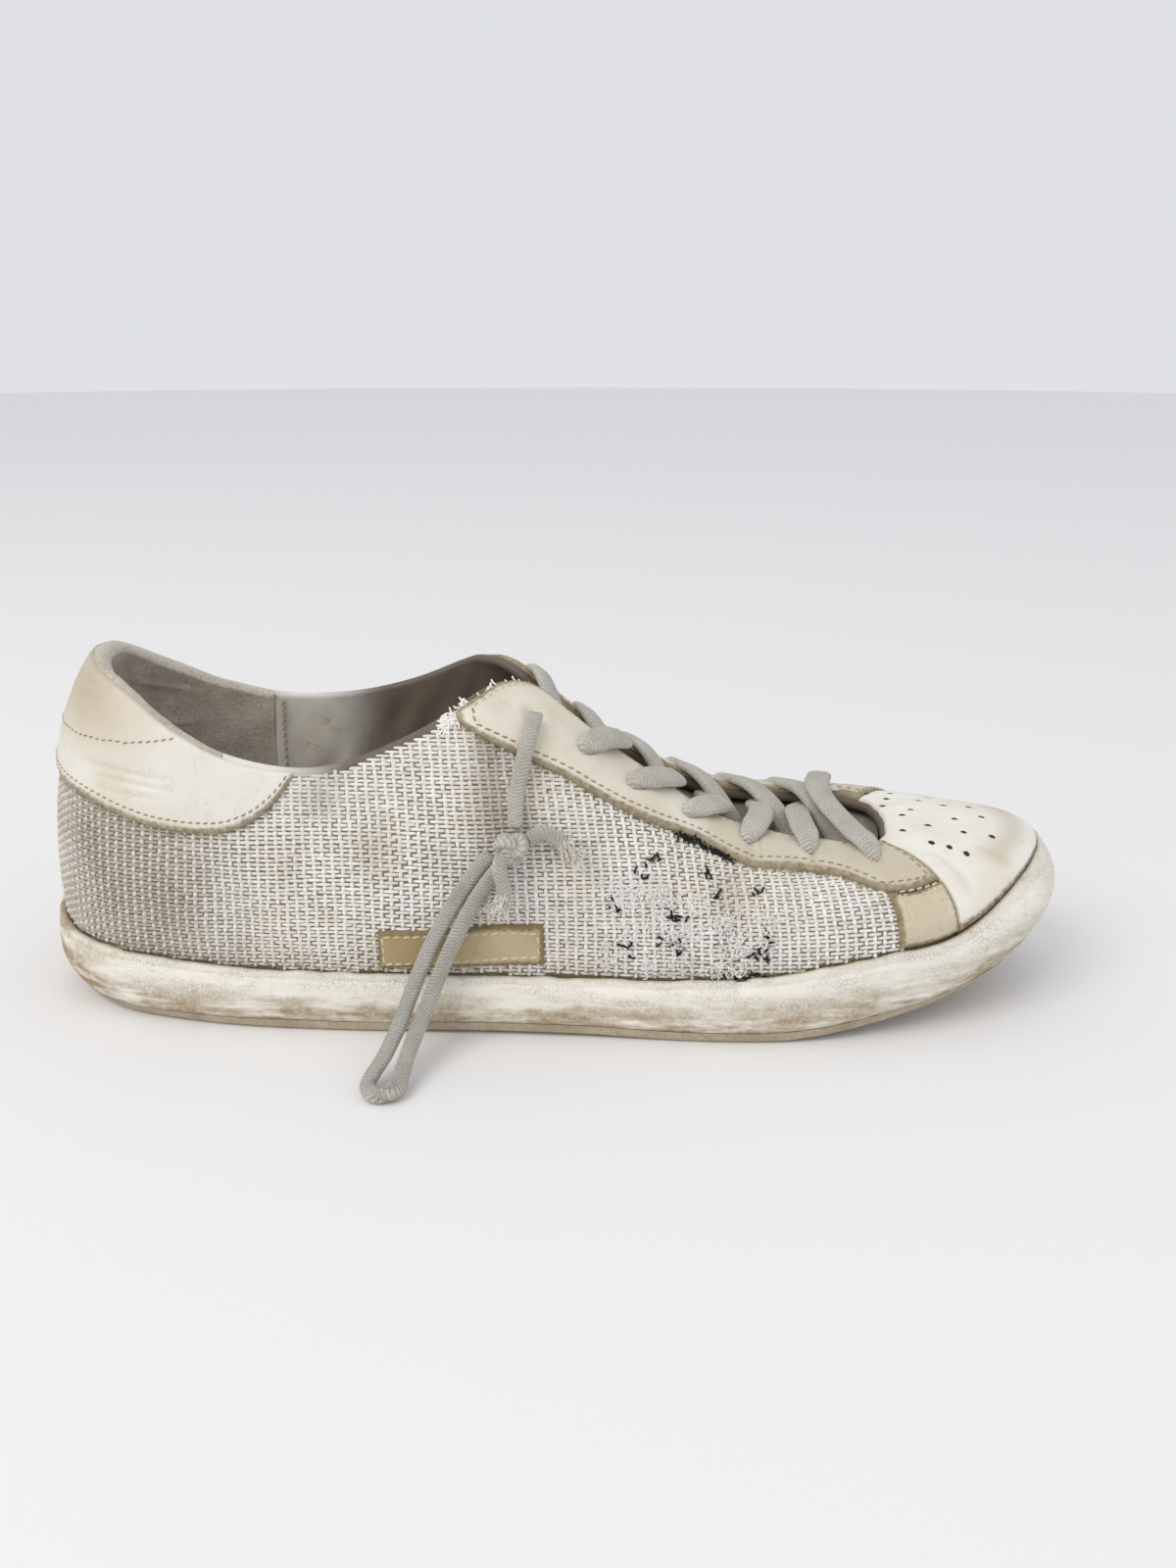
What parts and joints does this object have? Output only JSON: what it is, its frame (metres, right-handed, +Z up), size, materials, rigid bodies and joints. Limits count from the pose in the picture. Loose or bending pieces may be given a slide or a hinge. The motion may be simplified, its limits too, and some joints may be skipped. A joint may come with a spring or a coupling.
{
  "type": "low-top sneaker",
  "caption": "Worn low-top lace-up sneaker for the right foot: open woven mesh upper with smooth leather heel, throat and toe overlays on a moulded rubber cup sole, standing empty.",
  "frame": {"origin": "on the floor, below the middle of the shoe's bounding box without its hanging lace", "axes": "+X from heel to toe, +Y to the medial (inner) side, +Z up"},
  "size_m": [0.2969, 0.1309, 0.0998],
  "materials": {
    "outsole_rubber": "matt moulded rubber, dirty",
    "foxing_rubber": "off-white rubber, scuffed and stained",
    "insole_leather": "worn matt leather",
    "quarter_mesh": "open basket weave, white over taupe",
    "tongue_felt": "matt felt",
    "collar_leather": "smooth off-white leather, wrinkled",
    "eyestay_leather": "cream leather with raw fuzzy edges",
    "tab_leather": "cream leather, stitched",
    "toe_leather": "smooth cream leather, punched",
    "patch_suede": "grey suede",
    "tag_leather": "matt cream leather",
    "lace_cotton": "flat braided cotton, greyed",
    "frayed_cotton": "frayed cotton"
  },
  "bodies": {
    "root": {"outsole": "outsole_rubber", "cup_sole": "foxing_rubber", "insole": "insole_leather", "upper": "quarter_mesh", "tongue": "tongue_felt", "collar_panel": "collar_leather", "eyestay_lateral": "eyestay_leather", "eyestay_medial": "eyestay_leather", "eyestay_tab_lateral": "tab_leather", "eyestay_tab_medial": "tab_leather", "toe_box": "toe_leather", "toe_patch": "patch_suede", "side_tag": "tag_leather", "lace_crossings": "lace_cotton", "lace_end": "lace_cotton", "lace_loop": "lace_cotton", "lace_knot": "lace_cotton", "lace_tail_front": "frayed_cotton", "lace_tail_low": "frayed_cotton"}
  },
  "joints": []
}
